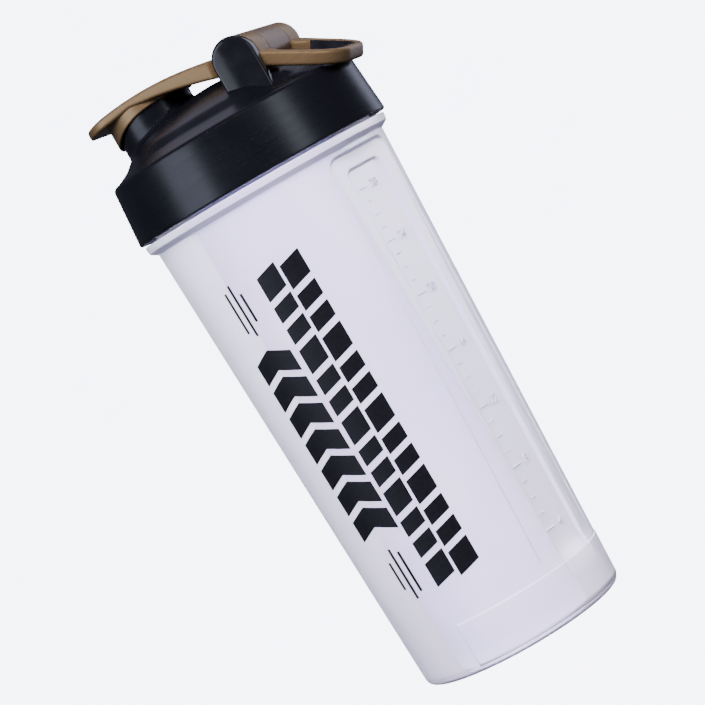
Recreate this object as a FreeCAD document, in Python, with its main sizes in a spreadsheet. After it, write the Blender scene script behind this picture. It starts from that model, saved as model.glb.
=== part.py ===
import FreeCAD, Part
import math
import os
import Sketcher

# A screw-lid shaker bottle. Millimetres, +Z up. The origin is the centre of the foot ring on the
# surface that the bottle stands on. The spout is towards -X, the carry loop hangs towards +X, and
# the hinge of the flip cap and the loop runs along Y.

# ---------------------------------------------------------------- driving dimensions
SIZES = {
    # cup
    "baseRadius": 39.1,
    "topRadius": 45.65,
    "topHeight": 181.0,
    "cupWall": 1.7,
    "footInner": 32.0,
    "footRise": 1.2,
    "floorHeight": 5.0,
    "baseRound": 2.2,
    "bandRise": 0.3,
    "bandHeight": 19.0,
    "bandTurn": 180.0,
    "bandStart": -9.0,
    "lidBottom": 186.4,
    "flangeRadius": 48.8,
    "flangeThick": 2.8,
    "flangeGap": 0.9,
    "neckRadius": 43.6,
    "neckRise": 18.0,
    # sight window
    "windowTurn": 70.0,
    "windowTop": 179.0,
    "windowBottom": 20.0,
    "windowReachTop": 42.5,
    "windowReachLow": 39.24,
    "windowHalf": 16.9,
    "windowRound": 4.0,
    "panelDeep": 0.9,
    "panelHalf": 9.6,
    "panelTop": 173.0,
    "panelBottom": 16.0,
    # screw thread
    "threadPitch": 5.0,
    "threadRise": 6.25,
    "threadTall": 2.2,
    "threadCrest": 1.7,
    "threadBury": 0.4,
    "cupThreadFoot": 7.0,
    "lidThreadFoot": 4.4,
    # lid
    "skirtRadius": 50.0,
    "skirtTopRadius": 48.2,
    "skirtHeight": 22.7,
    "skirtRound": 1.8,
    "shoulderRadius": 46.1,
    "shoulderEndRadius": 41.0,
    "shoulderEndRise": 25.3,
    "domeRadius": 37.2,
    "domeFootRise": 28.6,
    "domeCrownRise": 37.5,
    "lidWall": 2.0,
    "boreRadius": 46.2,
    "ceilingRise": 20.0,
    "lipOuter": 40.6,
    "lipInner": 38.6,
    "lipRise": 15.0,
    # lid seal
    "sealThick": 1.8,
    "sealOuter": 45.6,
    "sealInner": 41.1,
    # spout
    "spoutReach": 23.8,
    "spoutRadius": 15.5,
    "spoutTop": 42.9,
    "spoutBore": 11.0,
    # hinge
    "hingeReach": 22.5,
    "hingeRise": 39.0,
    "earRadius": 8.1,
    "earInner": 24.1,
    "earThick": 5.0,
    "farEarRadius": 7.0,
    "farEarThick": 3.0,
    "barrelRadius": 8.0,
    "troughGap": 0.4,
    "pinRadius": 2.0,
    "pinClear": 0.06,
    "pinBlind": 3.2,
    "knuckleSplit": 12.0,
    "knuckleGap": 0.3,
    # flip cap
    "capRadius": 16.95,
    "capInner": 15.85,
    "capCeiling": 44.6,
    "armHalf": 17.4,
    "armNarrowing": 9.0,
    "armTopArc": 131.0,
    "armLowArc": 165.0,
    "rimArc": 46.0,
    "capTip": 46.8,
    "tipRound": 12.4,
    # spout seal
    "plugDisc": 14.6,
    "plugDiscThick": 1.5,
    "plugRadius": 10.6,
    "plugDrop": 2.6,
    # carry loop
    "loopSlope": 30.0,
    "loopLength": 35.6,
    "loopRoot": 23.7,
    "loopEnd": 18.8,
    "loopHigh": 5.3,
    "loopBar": 4.4,
    "loopEndBar": 3.2,
    "loopCorner": 10.5,
    "gapCorner": 7.1,
    "loopBend": 10.0,
    "gapBend": 13.5,
    "loopGain": 1.2,
    "linerThick": 0.9,
    # mixing grid
    "gridRadius": 38.2,
    "gridRim": 2.0,
    "gridRise": 13.0,
    "gridRimHigh": 4.0,
    "gridBar": 1.6,
    "gridBarHigh": 2.2,
    "gridPitch": 8.4,
}
GRID_BARS = 9

doc = FreeCAD.newDocument("ShakerBottle")
sheet = doc.addObject("Spreadsheet::Sheet", "Sizes")
for row, (name, value) in enumerate(SIZES.items(), start=1):
    sheet.set(f"A{row}", name)
    sheet.set(f"B{row}", str(value))
    sheet.setAlias(f"B{row}", name)
doc.recompute()


class Size:
    """A number together with the sheet expression that gives it."""

    def __init__(self, value, text):
        self.value = value
        self.text = text

    def __add__(self, other):
        other = as_size(other)
        return Size(self.value + other.value, f"({self.text} + {other.text})")

    def __sub__(self, other):
        other = as_size(other)
        return Size(self.value - other.value, f"({self.text} - {other.text})")

    def __mul__(self, other):
        other = as_size(other)
        return Size(self.value * other.value, f"({self.text} * {other.text})")

    def __truediv__(self, other):
        other = as_size(other)
        return Size(self.value / other.value, f"({self.text} / {other.text})")

    def __neg__(self):
        return as_size(0) - self

    def __radd__(self, other):
        return as_size(other) + self

    def __rsub__(self, other):
        return as_size(other) - self

    def __rmul__(self, other):
        return as_size(other) * self


def as_size(value):
    return value if isinstance(value, Size) else Size(float(value), repr(float(value)))


def dim(name):
    """A driving dimension of the sheet."""
    return Size(SIZES[name], f"Sizes.{name}")


def bind(item, name, size):
    item.setExpression(name, as_size(size).text)


# ---------------------------------------------------------------- sketches and features
def new_body(label):
    body = doc.addObject("PartDesign::Body", label)
    body.Label = label
    return body


def new_sketch(body, name, role, offset=None, turn=None):
    """A sketch on one of the body's own origin planes, lifted by offset along the plane's normal."""
    sketch = body.newObject("Sketcher::SketchObject", name)
    plane = next(item for item in body.Origin.OriginFeatures if item.Role == role)
    sketch.AttachmentSupport = [(plane, "")]
    sketch.MapMode = "FlatFace"
    if turn is not None:
        sketch.AttachmentOffset = turn
    if offset is not None:
        bind(sketch, "AttachmentOffset.Base.z", offset)
    return sketch


def pin_point(sketch, index, end, point):
    """Bind one end of a curve to its two sheet expressions."""
    for kind, size in (("DistanceX", point[0]), ("DistanceY", point[1])):
        size = as_size(size)
        number = sketch.addConstraint(Sketcher.Constraint(kind, -1, 1, index, end, size.value))
        sketch.setExpression(f"Constraints[{number}]", size.text)


def add_outline(sketch, points, arcs=None):
    """A closed outline through points. arcs maps a side's number to (radius, bulge side)."""
    arcs = arcs or {}
    count = len(points)
    flat = [FreeCAD.Vector(as_size(x).value, as_size(y).value, 0) for x, y in points]
    first = sketch.GeometryCount
    for side in range(count):
        start = flat[side]
        end = flat[(side + 1) % count]
        if side in arcs:
            radius, sign = arcs[side]
            half = (end - start) * 0.5
            rise = radius.value - math.sqrt(radius.value ** 2 - half.Length ** 2)
            across = FreeCAD.Vector(-half.y, half.x, 0).normalize() * (rise * sign)
            curve = Part.Arc(start, start + half + across, end)
        else:
            curve = Part.LineSegment(start, end)
        sketch.addGeometry(curve)
    for side in range(count):
        index = first + side
        begin = 1
        if side in arcs and arcs[side][1] > 0:
            begin = 2
        pin_point(sketch, index, begin, points[side])
        following = first + (side + 1) % count
        next_side = (side + 1) % count
        next_begin = 2 if next_side in arcs and arcs[next_side][1] > 0 else 1
        sketch.addConstraint(Sketcher.Constraint("Coincident", index, 3 - begin, following, next_begin))
        if side in arcs:
            number = sketch.addConstraint(Sketcher.Constraint("Radius", index, arcs[side][0].value))
            sketch.setExpression(f"Constraints[{number}]", arcs[side][0].text)


def add_circle(sketch, centre, radius):
    x = as_size(centre[0])
    y = as_size(centre[1])
    middle = FreeCAD.Vector(x.value, y.value, 0)
    index = sketch.addGeometry(Part.Circle(middle, FreeCAD.Vector(0, 0, 1), radius.value))
    pin_point(sketch, index, 3, centre)
    number = sketch.addConstraint(Sketcher.Constraint("Radius", index, radius.value))
    sketch.setExpression(f"Constraints[{number}]", radius.text)


def revolve(body, name, points, arcs=None):
    """A full turn about Z of an outline given as (radius, height)."""
    sketch = new_sketch(body, name + "Outline", "XZ_Plane")
    add_outline(sketch, points, arcs)
    turn = body.newObject("PartDesign::Revolution", name)
    turn.Profile = sketch
    turn.ReferenceAxis = (sketch, ["V_Axis"])
    turn.Angle = 360
    doc.recompute()
    return turn


def pad(body, name, sketch, length, middle=False, back=False):
    """A prism on the sketch. middle: half to each side. back: against the sketch's normal."""
    feature = body.newObject("PartDesign::Pad", name)
    feature.Profile = sketch
    bind(feature, "Length", length)
    feature.Midplane = middle
    feature.Reversed = back
    doc.recompute()
    return feature


def pocket(body, name, sketch, length, middle=False, back=False):
    """A prism taken away, on the side of the sketch's normal unless back. It has to remove something."""
    before = body.Tip.Shape.Volume
    feature = body.newObject("PartDesign::Pocket", name)
    feature.Profile = sketch
    bind(feature, "Length", length)
    feature.Midplane = middle
    feature.Reversed = not back
    doc.recompute()
    if feature.Shape.Volume > before - 0.01:
        raise ValueError(f"{name} removes nothing")
    return feature


def cut(label, base, tool):
    result = doc.addObject("Part::Cut", label)
    result.Label = label
    result.Base = base
    result.Tool = tool
    doc.recompute()
    return result


def upright_edges(feature, low_x, high_x):
    """Names of the straight edges along Z whose X lies between the two limits."""
    names = []
    for number, edge in enumerate(feature.Shape.Edges, start=1):
        box = edge.BoundBox
        if box.XLength + box.YLength < 0.001 and low_x < box.Center.x < high_x:
            names.append(f"Edge{number}")
    return names


def thread(body, name, root, crest, foot):
    """A right-hand ridge from radius root to radius crest, its lowest end at height foot."""
    slope = (dim("threadTall") - dim("threadTall") * 0.5) / 2
    tall = dim("threadTall")
    sketch = new_sketch(body, name + "Outline", "XZ_Plane")
    points = [
        (root, foot),
        (crest, foot + slope),
        (crest, foot + tall - slope),
        (root, foot + tall),
    ]
    if crest.value < root.value:
        points.reverse()
    add_outline(sketch, points)
    doc.recompute()
    ridge = body.newObject("PartDesign::AdditiveHelix", name)
    ridge.Profile = sketch
    ridge.ReferenceAxis = (sketch, ["V_Axis"])
    ridge.Mode = 0
    bind(ridge, "Pitch", dim("threadPitch"))
    bind(ridge, "Height", dim("threadRise"))
    ridge.LeftHanded = False
    ridge.Reversed = False
    doc.recompute()
    return ridge


# ---------------------------------------------------------------- shared places
LID = dim("lidBottom")
HINGE_X = dim("hingeReach")
HINGE_Z = LID + dim("hingeRise")
SPOUT_X = -dim("spoutReach")


# ---------------------------------------------------------------- cup
def window_sketch(body, name, inset, half, top, bottom, corner):
    """A round-cornered window outline on the leaning plane that lies inset inside the window's face."""
    rise = SIZES["windowTop"] - SIZES["windowBottom"]
    lean = math.degrees(math.atan2(SIZES["windowReachTop"] - SIZES["windowReachLow"], rise))
    along = FreeCAD.Rotation(FreeCAD.Vector(0, 0, 1), SIZES["windowTurn"] - 90)
    tilt = FreeCAD.Rotation(FreeCAD.Vector(0, 1, 0), 90 + lean)
    flat = FreeCAD.Rotation(FreeCAD.Vector(0, 0, 1), 90)
    low = FreeCAD.Vector(SIZES["windowReachLow"] - inset.value, 0, SIZES["windowBottom"])
    spot = FreeCAD.Placement(along.multVec(low), along.multiply(tilt).multiply(flat))
    sketch = new_sketch(body, name, "XY_Plane", turn=spot)
    start = bottom - dim("windowBottom")
    end = top - dim("windowBottom")
    points = [
        (-half, start + corner),
        (-half + corner, start),
        (half - corner, start),
        (half, start + corner),
        (half, end - corner),
        (half - corner, end),
        (-half + corner, end),
        (-half, end - corner),
    ]
    round_side = (corner, -1)
    add_outline(sketch, points, {0: round_side, 2: round_side, 4: round_side, 6: round_side})
    return sketch


def make_cup():
    wall = dim("cupWall")
    flange_top = LID - dim("flangeGap")
    flange_low = flange_top - dim("flangeThick")
    neck_top = LID + dim("neckRise")
    outer = new_body("cup_outside")
    revolve(outer, "CupOutside", [
        (0, dim("footRise")),
        (dim("footInner"), dim("footRise")),
        (dim("footInner") + dim("footRise"), 0),
        (dim("baseRadius") - dim("baseRound"), 0),
        (dim("baseRadius"), dim("baseRound")),
        (dim("topRadius"), dim("topHeight")),
        (dim("flangeRadius") - 0.6, flange_low),
        (dim("flangeRadius"), flange_low + 0.6),
        (dim("flangeRadius"), flange_top - 0.5),
        (dim("flangeRadius") - 0.5, flange_top),
        (dim("neckRadius"), flange_top),
        (dim("neckRadius"), neck_top - 0.5),
        (dim("neckRadius") - 0.5, neck_top),
        (0, neck_top),
    ], {3: (dim("baseRound"), -1)})
    taper = (dim("topRadius") - dim("baseRadius")) / dim("topHeight")
    band = new_sketch(outer, "BandOutline", "XZ_Plane",
                      turn=FreeCAD.Placement(FreeCAD.Vector(), FreeCAD.Rotation(
                          FreeCAD.Vector(0, 1, 0), SIZES["bandStart"] - 90)))
    proud = dim("bandRise")
    add_outline(band, [
        (dim("baseRadius") - 1.0, dim("baseRound")),
        (dim("baseRadius"), dim("baseRound")),
        (dim("baseRadius") + proud, dim("baseRound") + proud),
        (dim("baseRadius") + proud + taper * dim("bandHeight"), dim("bandHeight") - proud),
        (dim("baseRadius") + taper * dim("bandHeight"), dim("bandHeight")),
        (dim("baseRadius") + taper * dim("bandHeight") - 1.0, dim("bandHeight")),
    ])
    ring = outer.newObject("PartDesign::Revolution", "Band")
    ring.Profile = band
    ring.ReferenceAxis = (band, ["V_Axis"])
    bind(ring, "Angle", dim("bandTurn"))
    doc.recompute()
    face = window_sketch(outer, "WindowOutline", as_size(0), dim("windowHalf"), dim("windowTop"),
                         dim("windowBottom"), dim("windowRound"))
    pocket(outer, "Window", face, as_size(20))
    panel = window_sketch(outer, "PanelOutline", dim("panelDeep"), dim("panelHalf"), dim("panelTop"),
                          dim("panelBottom"), dim("windowRound") * 0.7)
    pocket(outer, "Panel", panel, as_size(20))
    thread(outer, "CupThread", dim("neckRadius") - dim("threadBury"),
           dim("neckRadius") + dim("threadCrest"), LID + dim("cupThreadFoot"))

    inner = new_body("cup_cavity")
    floor = dim("floorHeight")
    revolve(inner, "CupCavity", [
        (0, floor),
        (dim("baseRadius") - wall - 5.0, floor),
        (dim("baseRadius") - wall + taper * (floor + 5.0), floor + 5.0),
        (dim("neckRadius") - wall, dim("topHeight") - 2.0),
        (dim("neckRadius") - wall, neck_top + 2.0),
        (0, neck_top + 2.0),
    ], {1: (as_size(5.4), -1)})
    back_face = window_sketch(inner, "WindowBack", wall + dim("panelDeep"), dim("windowHalf") + wall,
                              dim("windowTop") + wall, dim("panelBottom") - wall, dim("windowRound"))
    pocket(inner, "WindowWall", back_face, as_size(20))
    return cut("cup", outer, inner)


# ---------------------------------------------------------------- lid
def dome_radius(half_width, rise):
    """Radius of the arc that rises by rise over half_width from the crown."""
    return (half_width * half_width + rise * rise) / (rise * 2)


def make_lid():
    outer = new_body("lid_outside")
    dome = dome_radius(dim("domeRadius"), dim("domeCrownRise") - dim("domeFootRise"))
    revolve(outer, "LidOutside", [
        (0, LID),
        (dim("skirtRadius") - 0.6, LID),
        (dim("skirtRadius"), LID + 0.6),
        (dim("skirtTopRadius"), LID + dim("skirtHeight") - dim("skirtRound")),
        (dim("skirtTopRadius") - dim("skirtRound"), LID + dim("skirtHeight")),
        (dim("shoulderRadius"), LID + dim("skirtHeight")),
        (dim("shoulderEndRadius"), LID + dim("shoulderEndRise")),
        (dim("domeRadius"), LID + dim("domeFootRise")),
        (0, LID + dim("domeCrownRise")),
    ], {3: (dim("skirtRound"), -1), 7: (dome, -1)})

    trough = new_sketch(outer, "TroughCircle", "XZ_Plane")
    add_circle(trough, (HINGE_X, HINGE_Z), dim("barrelRadius") + dim("troughGap"))
    pocket(outer, "Trough", trough, dim("earInner") * 2, middle=True)

    spout = new_sketch(outer, "SpoutCircle", "XY_Plane", offset=LID + 22)
    add_circle(spout, (SPOUT_X, 0), dim("spoutRadius"))
    pad(outer, "Spout", spout, dim("spoutTop") - 22)

    ear_foot = LID + 24
    ears = (
        ("NearEar", -1, dim("earRadius"), dim("earThick")),
        ("FarEar", 1, dim("farEarRadius"), dim("farEarThick")),
    )
    for name, side, radius, thick in ears:
        # The XZ plane's normal is -Y, so the near ear starts at its inner face and grows along it.
        ear = new_sketch(outer, name + "Outline", "XZ_Plane", offset=dim("earInner") * -side)
        add_outline(ear, [
            (HINGE_X - radius, ear_foot),
            (HINGE_X + radius, ear_foot),
            (HINGE_X + radius, HINGE_Z),
            (HINGE_X, HINGE_Z + radius),
            (HINGE_X - radius, HINGE_Z),
        ], {2: (radius, -1), 3: (radius, -1)})
        pad(outer, name, ear, thick, back=side > 0)
    bore = new_sketch(outer, "PinBoreCircle", "XZ_Plane", offset=dim("earInner") + dim("pinBlind"))
    add_circle(bore, (HINGE_X, HINGE_Z), dim("pinRadius") + dim("pinClear"))
    pocket(outer, "PinBore", bore, dim("earInner") * 2 + dim("pinBlind") + dim("farEarThick") + 5, back=True)
    mouth = new_sketch(outer, "SpoutBoreCircle", "XY_Plane", offset=LID + 15)
    add_circle(mouth, (SPOUT_X, 0), dim("spoutBore"))
    pocket(outer, "SpoutBore", mouth, as_size(60))

    inner = new_body("lid_cavity")
    wall = dim("lidWall")
    inner_crown = dim("domeCrownRise") - wall
    inner_foot = dim("domeFootRise") - wall
    inner_dome = dome_radius(dim("domeRadius") - wall, inner_crown - inner_foot)
    revolve(inner, "LidCavity", [
        (0, LID - 2),
        (dim("boreRadius"), LID - 2),
        (dim("boreRadius"), LID + dim("ceilingRise")),
        (dim("lipOuter"), LID + dim("ceilingRise")),
        (dim("lipOuter"), LID + dim("lipRise")),
        (dim("lipInner"), LID + dim("lipRise")),
        (dim("lipInner"), LID + dim("shoulderEndRise") - wall),
        (dim("domeRadius") - wall, LID + inner_foot),
        (0, LID + inner_crown),
    ], {7: (inner_dome, -1)})
    saddle = new_sketch(inner, "SaddleCircle", "XZ_Plane")
    add_circle(saddle, (HINGE_X, HINGE_Z), dim("barrelRadius") + dim("troughGap") + wall)
    pocket(inner, "Saddle", saddle, dim("earInner") * 2 + wall * 2, middle=True)
    shell = cut("lid_shell", outer, inner)

    ridge = new_body("lid_thread")
    revolve(ridge, "ThreadSleeve", [
        (dim("boreRadius"), LID + 1),
        (dim("boreRadius") + 0.6, LID + 1),
        (dim("boreRadius") + 0.6, LID + dim("ceilingRise") - 1),
        (dim("boreRadius"), LID + dim("ceilingRise") - 1),
    ])
    thread(ridge, "LidThread", dim("boreRadius") + 0.3, dim("boreRadius") - dim("threadCrest"),
           LID + dim("lidThreadFoot"))
    joined = doc.addObject("Part::Fuse", "lid")
    joined.Label = "lid"
    joined.Base = shell
    joined.Tool = ridge
    doc.recompute()
    return joined


def make_lid_seal():
    body = new_body("lid_seal")
    top = LID + dim("ceilingRise") - 0.1
    low = top - dim("sealThick")
    revolve(body, "Ring", [
        (dim("sealInner"), low),
        (dim("sealOuter"), low),
        (dim("sealOuter"), top),
        (dim("sealInner"), top),
    ])
    return body


def make_hinge_pin():
    pin = doc.addObject("Part::Cylinder", "hinge_pin")
    pin.Label = "hinge_pin"
    near_end = -(dim("earInner") + dim("pinBlind") - 0.2)
    bind(pin, "Radius", dim("pinRadius"))
    bind(pin, "Height", dim("earInner") + dim("farEarThick") - near_end)
    pin.Placement = FreeCAD.Placement(
        FreeCAD.Vector(), FreeCAD.Rotation(FreeCAD.Vector(1, 0, 0), -90))
    bind(pin, "Placement.Base.x", HINGE_X)
    bind(pin, "Placement.Base.y", near_end)
    bind(pin, "Placement.Base.z", HINGE_Z)
    doc.recompute()
    return pin


# ---------------------------------------------------------------- flip cap
def make_flip_cap():
    body = new_body("flip_cap")
    # Side outline of the arm, from the hinge forward along the top and back along the underside.
    side = new_sketch(body, "ArmSide", "XZ_Plane")
    add_outline(side, [
        (HINGE_X, LID + 43.0),
        (10.6, LID + 44.1),
        (-dim("capTip"), LID + 45.0),
        (-dim("capTip"), LID + 42.0),
        (-24, LID + 44.45),
        (10.3, LID + 37.3),
        (HINGE_X, LID + 35.5),
    ], {1: (dim("armTopArc"), -1), 4: (dim("armLowArc"), 1)})
    pad(body, "Arm", side, dim("armHalf") * 2, middle=True)

    # Seen from above: one width over the spout, a round tip, and narrower beside the loop's knuckles.
    plan = new_sketch(body, "ArmPlan", "XY_Plane", offset=LID + 30)
    narrow = dim("knuckleSplit") - dim("knuckleGap") * 0.5
    half = dim("armHalf")
    bend = dim("tipRound")
    tip = -dim("capTip")
    add_outline(plan, [
        (60, -60),
        (60, 60),
        (-80, 60),
        (-80, -60),
    ])
    add_outline(plan, [
        (HINGE_X + 2, -narrow),
        (HINGE_X + 2, narrow),
        (dim("armNarrowing") + 3.5, narrow),
        (dim("armNarrowing"), half + 1),
        (tip + bend, half + 1),
        (tip + bend, half),
        (tip, half - bend),
        (tip, bend - half),
        (tip + bend, -half),
        (tip + bend, -half - 1),
        (dim("armNarrowing"), -half - 1),
        (dim("armNarrowing") + 3.5, -narrow),
    ], {5: (bend, -1), 7: (bend, -1)})
    pocket(body, "ArmTrim", plan, as_size(40))

    skirt = new_sketch(body, "SkirtCircle", "XY_Plane", offset=LID + dim("capCeiling") + 1)
    add_circle(skirt, (SPOUT_X, 0), dim("capRadius"))
    pad(body, "Skirt", skirt, as_size(15), back=True)
    # The skirt's rim rises from deep at the front to level under the arm.
    wedge = new_sketch(body, "RimOutline", "XZ_Plane")
    level = LID + 41.8
    drop = dim("rimArc").value - math.sqrt(dim("rimArc").value ** 2 - 28.0 ** 2)
    add_outline(wedge, [
        (-42, LID + 25),
        (-6, LID + 25),
        (-6, LID + 41.3),
        (-14, level),
        (-42, level - drop),
    ], {3: (dim("rimArc"), -1)})
    pocket(body, "Rim", wedge, as_size(44), middle=True)
    hollow = new_sketch(body, "HollowCircle", "XY_Plane", offset=LID + dim("capCeiling"))
    add_circle(hollow, (SPOUT_X, 0), dim("capInner"))
    pocket(body, "Hollow", hollow, as_size(20), back=True)

    barrel = new_sketch(body, "BarrelCircle", "XZ_Plane")
    add_circle(barrel, (HINGE_X, HINGE_Z), dim("barrelRadius"))
    pad(body, "Barrel", barrel, narrow * 2, middle=True)
    bore = new_sketch(body, "BoreCircle", "XZ_Plane")
    add_circle(bore, (HINGE_X, HINGE_Z), dim("pinRadius") + dim("pinClear"))
    pocket(body, "Bore", bore, as_size(60), middle=True)
    return body


def make_spout_seal():
    body = new_body("spout_seal")
    disc = new_sketch(body, "DiscCircle", "XY_Plane", offset=LID + dim("capCeiling"))
    add_circle(disc, (SPOUT_X, 0), dim("plugDisc"))
    pad(body, "Disc", disc, dim("plugDiscThick"), back=True)
    plug = new_sketch(body, "PlugCircle", "XY_Plane", offset=LID + dim("capCeiling"))
    add_circle(plug, (SPOUT_X, 0), dim("plugRadius"))
    pad(body, "Plug", plug, dim("plugDiscThick") + dim("plugDrop"), back=True)
    return body


# ---------------------------------------------------------------- carry loop
def place_on_hinge(body):
    """Lay a body made flat about the hinge axis down along the loop's slope."""
    body.Placement = FreeCAD.Placement(
        FreeCAD.Vector(), FreeCAD.Rotation(FreeCAD.Vector(0, 1, 0), SIZES["loopSlope"]))
    bind(body, "Placement.Base.x", HINGE_X)
    bind(body, "Placement.Base.z", HINGE_Z)


def loop_outline(body, name, inset):
    """The loop's U-shaped opening, made smaller all round by inset."""
    sketch = new_sketch(body, name, "XY_Plane")
    root = dim("knuckleSplit") + dim("knuckleGap") * 0.5 - inset
    waist = dim("loopRoot") - dim("loopBar") - dim("loopGain") - inset
    end = dim("loopEnd") - dim("loopBar") - inset
    reach = dim("loopLength") - dim("loopEndBar") - inset
    add_outline(sketch, [
        (-dim("knuckleSplit"), -root),
        (dim("loopBend"), -root),
        (dim("gapBend"), -waist),
        (reach, -end),
        (reach, end),
        (dim("gapBend"), waist),
        (dim("loopBend"), root),
        (-dim("knuckleSplit"), root),
    ])
    return sketch


def make_carry_loop():
    body = new_body("carry_loop")
    plate = new_sketch(body, "LoopOutline", "XY_Plane")
    add_outline(plate, [
        (0, -dim("loopRoot")),
        (dim("loopBend"), -dim("loopRoot")),
        (dim("loopLength"), -dim("loopEnd")),
        (dim("loopLength"), dim("loopEnd")),
        (dim("loopBend"), dim("loopRoot")),
        (0, dim("loopRoot")),
    ])
    flat = pad(body, "Plate", plate, dim("loopHigh"), middle=True)
    corners = body.newObject("PartDesign::Fillet", "PlateCorners")
    corners.Base = (flat, upright_edges(flat, SIZES["loopLength"] - 1, SIZES["loopLength"] + 1))
    bind(corners, "Radius", dim("loopCorner"))
    doc.recompute()
    knuckle = new_sketch(body, "KnuckleCircle", "XZ_Plane")
    add_circle(knuckle, (0, 0), dim("barrelRadius"))
    pad(body, "Knuckles", knuckle, dim("loopRoot") * 2, middle=True)
    opening = pocket(body, "Opening", loop_outline(body, "OpeningOutline", as_size(0)),
                     as_size(40), middle=True)
    reach = SIZES["loopLength"] - SIZES["loopEndBar"]
    inner = body.newObject("PartDesign::Fillet", "OpeningCorners")
    inner.Base = (opening, upright_edges(opening, reach - 1, reach + 1))
    bind(inner, "Radius", dim("gapCorner"))
    doc.recompute()
    bore = new_sketch(body, "BoreCircle", "XZ_Plane")
    add_circle(bore, (0, 0), dim("pinRadius") + dim("pinClear"))
    pocket(body, "Bore", bore, as_size(60), middle=True)
    place_on_hinge(body)
    doc.recompute()
    return body


def liner_prism(label, inset, longer, high):
    """The loop's opening as a solid with two round corners, made smaller all round by inset."""
    body = new_body(label)
    waist = dim("loopRoot") - dim("loopBar") - dim("loopGain") - inset
    end = dim("loopEnd") - dim("loopBar") - inset
    reach = dim("loopLength") - dim("loopEndBar") - inset
    sketch = new_sketch(body, label + "Outline", "XY_Plane")
    add_outline(sketch, [
        (dim("gapBend") - longer, -waist),
        (reach, -end),
        (reach, end),
        (dim("gapBend") - longer, waist),
    ])
    flat = pad(body, label + "Pad", sketch, high, middle=True)
    corners = body.newObject("PartDesign::Fillet", label + "Corners")
    corners.Base = (flat, upright_edges(flat, reach.value - 0.1, reach.value + 0.1))
    bind(corners, "Radius", dim("gapCorner") - inset)
    doc.recompute()
    place_on_hinge(body)
    return body


def make_loop_liner():
    high = dim("loopHigh") - 0.6
    outside = liner_prism("liner_outside", as_size(0), as_size(0), high)
    inside = liner_prism("liner_inside", dim("linerThick"), as_size(1), high + 2)
    return cut("loop_liner", outside, inside)


# ---------------------------------------------------------------- mixing grid
def make_mixing_grid():
    low = LID + dim("gridRise")
    bars = []
    for along in ("X", "Y"):
        for number in range(GRID_BARS):
            step = number - (GRID_BARS - 1) / 2
            bar = doc.addObject("Part::Box", f"GridBar{along}{number}")
            across = dim("gridPitch") * step - dim("gridBar") * 0.5
            start = -dim("gridRadius")
            if along == "X":
                bind(bar, "Length", dim("gridRadius") * 2)
                bind(bar, "Width", dim("gridBar"))
                bind(bar, "Placement.Base.x", start)
                bind(bar, "Placement.Base.y", across)
            else:
                bind(bar, "Length", dim("gridBar"))
                bind(bar, "Width", dim("gridRadius") * 2)
                bind(bar, "Placement.Base.x", across)
                bind(bar, "Placement.Base.y", start)
            bind(bar, "Height", dim("gridBarHigh"))
            bind(bar, "Placement.Base.z", low)
            bars.append(bar)
    lattice = doc.addObject("Part::MultiFuse", "GridLattice")
    lattice.Shapes = bars
    disc = doc.addObject("Part::Cylinder", "GridDisc")
    bind(disc, "Radius", dim("gridRadius") - 0.6)
    bind(disc, "Height", dim("gridRimHigh"))
    bind(disc, "Placement.Base.z", low)
    trimmed = doc.addObject("Part::Common", "GridTrimmed")
    trimmed.Base = lattice
    trimmed.Tool = disc
    rim = new_body("grid_rim")
    revolve(rim, "Rim", [
        (dim("gridRadius") - dim("gridRim"), low),
        (dim("gridRadius"), low),
        (dim("gridRadius"), low + dim("gridRimHigh")),
        (dim("gridRadius") - dim("gridRim"), low + dim("gridRimHigh")),
    ])
    grid = doc.addObject("Part::Fuse", "mixing_grid")
    grid.Label = "mixing_grid"
    grid.Base = trimmed
    grid.Tool = rim
    doc.recompute()
    return grid


# ---------------------------------------------------------------- build, check and write
parts = [
    make_cup(),
    make_lid(),
    make_lid_seal(),
    make_hinge_pin(),
    make_flip_cap(),
    make_spout_seal(),
    make_carry_loop(),
    make_loop_liner(),
    make_mixing_grid(),
]
doc.recompute()
for item in doc.Objects:
    if "Invalid" in item.State or "Error" in item.State:
        raise ValueError(f"{item.Label} did not build: {item.State}")
os.makedirs("parts", exist_ok=True)
for part in parts:
    if part.Shape.isNull() or not part.Shape.isValid():
        raise ValueError(f"{part.Label} has no valid shape")
    box = part.Shape.BoundBox
    print(part.Label, len(part.Shape.Solids), "solid", round(part.Shape.Volume), "mm3",
          [round(value, 1) for value in (box.XMin, box.XMax, box.YMin, box.YMax, box.ZMin, box.ZMax)])
    part.Shape.exportStep(f"parts/{part.Label}.step")
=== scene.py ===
import math

import bpy
import numpy as np
from mathutils import Matrix, Vector


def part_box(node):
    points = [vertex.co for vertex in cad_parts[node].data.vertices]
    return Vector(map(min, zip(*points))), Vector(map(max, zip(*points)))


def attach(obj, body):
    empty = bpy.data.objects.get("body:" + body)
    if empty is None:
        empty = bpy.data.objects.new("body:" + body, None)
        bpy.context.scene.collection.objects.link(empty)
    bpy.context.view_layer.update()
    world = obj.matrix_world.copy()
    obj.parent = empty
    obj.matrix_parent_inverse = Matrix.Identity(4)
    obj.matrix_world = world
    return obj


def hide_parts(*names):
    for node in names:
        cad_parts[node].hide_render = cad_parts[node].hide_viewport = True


bl_info = {
    "name": "Shaker Bottle",
    "version": (1, 0, 0),
    "blender": (4, 5, 0),
    "location": "View3D > Sidebar > Shaker",
    "description": "Finished surfaces and materials for a frosted shaker bottle with a flip-cap lid",
    "category": "Object",
}

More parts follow.
